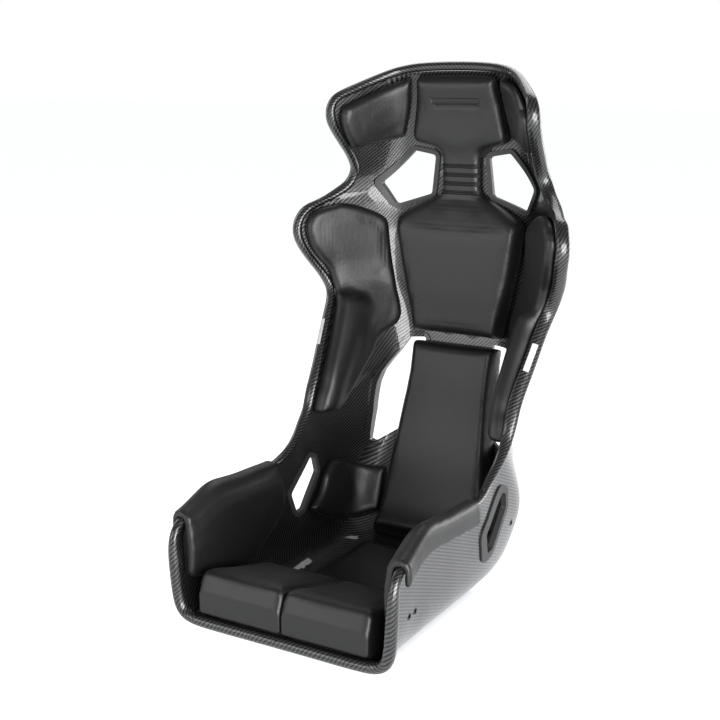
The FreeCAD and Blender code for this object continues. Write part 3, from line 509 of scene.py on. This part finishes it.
def engraved(obj, low, high, reach, depth):
    """Refine the front of a cover between two heights and press a pattern in."""
    bm = bmesh.new()
    bm.from_mesh(obj.data)
    picked = [f for f in bm.faces if f.normal.y < -0.5 and abs(f.calc_center_median().x) < reach
              and low < f.calc_center_median().z < high]
    edges = {e for f in picked for e in f.edges}
    bmesh.ops.subdivide_edges(bm, edges=list(edges), cuts=2, use_grid_fill=True)
    bm.normal_update()
    for v in bm.verts:
        if v.normal.y < -0.5 and abs(v.co.x) < reach and low < v.co.z < high:
            v.co.y += depth(v.co)
    bm.to_mesh(obj.data)
    bm.free()


def soft_pad(name):
    obj = remeshed(copied(name, name + "_cover"), PAD_VOXEL)
    puffed(obj, *cover_moves(name))
    swollen(obj)
    sub = obj.modifiers.new("fine", "SUBSURF")
    sub.levels = 1
    sub.render_levels = 1
    applied(obj)
    if name == "back_pad":
        lowest = GROOVE_TOP - (GROOVE_COUNT - 1) * GROOVE_PITCH
        engraved(obj, lowest - 0.012, GROOVE_TOP + 0.008, 0.045, groove_depth)
        engraved(obj, BADGE[1] - 0.010, BADGE[1] + 0.010, BADGE[0] + 0.006, badge_depth)
    smooth(obj, 180)
    dress(obj, FABRIC)
    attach(obj, "root")
    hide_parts(name)
    return obj


def twin(obj, name, new_name):
    """Mirror-image piece for the left-hand side."""
    mesh = obj.data.copy()
    made = bpy.data.objects.new(new_name, mesh)
    bpy.context.scene.collection.objects.link(made)
    co = coords(mesh)
    co[:, 0] *= -1
    mesh.vertices.foreach_set("co", co.ravel())
    mesh.flip_normals()
    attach(made, "root")
    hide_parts(name)
    return made


# ---- build

for word in ("carbon_shell", "lumbar_opening_bead_left", "lumbar_opening_bead_right"):
    weave_shell(NODES[word])
    dress(NODES[word], CARBON)
    smooth(NODES[word])
weave_rim(NODES["rolled_rim"])
dress(NODES["rolled_rim"], CARBON)
smooth(NODES["rolled_rim"])
for word in ("shoulder_belt_trim", "lap_belt_trim"):
    for side in ("_left", "_right"):
        dress(NODES[word + side], TRIM)
        smooth(NODES[word + side])
dress(NODES["crotch_belt_trim"], TRIM)
dress(NODES["side_mount_inserts"], METAL)
dress(NODES["pad_fastening_tapes"], TAPE)
for side in ("_left", "_right"):
    dress(NODES["rim_label" + side], LABEL)
for word in BACK:
    soft_pad(word)
for word in SIDES:
    made = soft_pad(word + "_right")
    twin(made, word + "_left", word + "_left_cover")


# ---- studio

def area_light(name, at, to, size, power):
    data = bpy.data.lights.new(name, "AREA")
    data.shape = "RECTANGLE"
    data.size, data.size_y = size
    data.energy = power
    lamp = bpy.data.objects.new(name, data)
    bpy.context.scene.collection.objects.link(lamp)
    lamp.location = at
    lamp.rotation_euler = (Vector(to) - Vector(at)).to_track_quat("-Z", "Y").to_euler()


def floor():
    """Pale ground: glows white to the camera, with a painted shadow under the pan where the glow
    is taken away.
    """
    mesh = bpy.data.meshes.new("floor")
    far = FLOOR_HALF
    mesh.from_pydata([(-far, -far, 0), (far, -far, 0), (far, far, 0), (-far, far, 0)],
                     [], [(0, 1, 2, 3)])
    obj = bpy.data.objects.new("floor", mesh)
    bpy.context.scene.collection.objects.link(obj)
    obj.location.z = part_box("carbon_shell")[0].z - FLOOR_DROP
    mat = bpy.data.materials.new("floor")
    t = Tree(mat)
    ray = t.add("ShaderNodeLightPath").outputs
    soft_ray = ray["Is Diffuse Ray"]
    level = t.blend(ray["Is Glossy Ray"], t.blend(soft_ray, FLOOR_GLOW, FLOOR_SPILL), FLOOR_MIRROR)
    # painted shadow: the glow fades out over a patch under the pan, for camera, reflected and
    # bounced rays alike
    where = t.add("ShaderNodeTexCoord").outputs["Object"]
    split = t.add("ShaderNodeSeparateXYZ", Vector=where).outputs
    beside = t.math("SUBTRACT", t.math("ABSOLUTE", split[0]), SEAT_SHADOW_HALF[0])
    along = t.math("ABSOLUTE", t.math("ADD", split[1], SEAT_SHADOW_FORWARD))
    beyond = t.math("SUBTRACT", along, SEAT_SHADOW_HALF[1])
    outside_seat_shadow = t.add("ShaderNodeMapRange", **{"Value": t.math("MAXIMUM", beside, beyond),
                                              "From Min": -0.03, "From Max": 0.03})
    glow = t.add("ShaderNodeEmission", Color=FLOOR_TINT,
                 Strength=t.math("MULTIPLY", level, outside_seat_shadow.outputs[0]))
    matt = t.add("ShaderNodeBsdfDiffuse", Color=t.mix(soft_ray, grey(0.80), grey(0.25)))
    both = t.add("ShaderNodeAddShader")
    t.feed(both, 0, glow)
    t.feed(both, 1, matt)
    t.surface(both)
    mesh.materials.append(mat)


def camera():
    data = bpy.data.cameras.new("camera")
    data.lens = 61.0
    data.sensor_width = 36.0
    data.clip_start, data.clip_end = 0.05, 60.0
    cam = bpy.data.objects.new("camera", data)
    bpy.context.scene.collection.objects.link(cam)
    azimuth, elevation = math.radians(30.53), math.radians(13.33)
    forward = Vector((-math.sin(azimuth) * math.cos(elevation),
                      math.cos(azimuth) * math.cos(elevation), -math.sin(elevation)))
    cam.location = (1.0399, -1.8063, 0.9369)
    cam.rotation_mode = "QUATERNION"
    cam.rotation_quaternion = forward.to_track_quat("-Z", "Y")
    bpy.context.scene.camera = cam


def world():
    """White to the camera, dimmer in reflections and dimmer still as fill light."""
    made = bpy.data.worlds.new("studio")
    bpy.context.scene.world = made
    t = Tree(made)
    path = t.add("ShaderNodeLightPath").outputs
    level = t.blend(path["Is Glossy Ray"], SKY_FILL, SKY_MIRROR)
    level = t.blend(path["Is Camera Ray"], level, 1.0)
    back = t.add("ShaderNodeBackground", Color=grey(1.0), Strength=level)
    t.tree.links.new(back.outputs[0], t.add("ShaderNodeOutputWorld").inputs[0])


floor()
camera()
world()
area_light("key", (2.2, -1.75, 0.7), (0, 0.05, 0.45), (2.6, 1.4), 120)
area_light("front", (-1.4, -2.35, 0.95), (0, 0.05, 0.45), (1.8, 1.3), 20)
area_light("side", (1.7, 2.5, 0.6), (0, 0.1, 0.4), (1.8, 1.4), 44)
area_light("top", (-0.3, 1.5, 2.2), (0, 0.1, 0.6), (1.6, 1.6), 18)
area_light("left", (-2.4, 0.4, 1.5), (0, 0.1, 0.5), (0.5, 1.8), 8)
bpy.context.scene.view_settings.view_transform = "Standard"
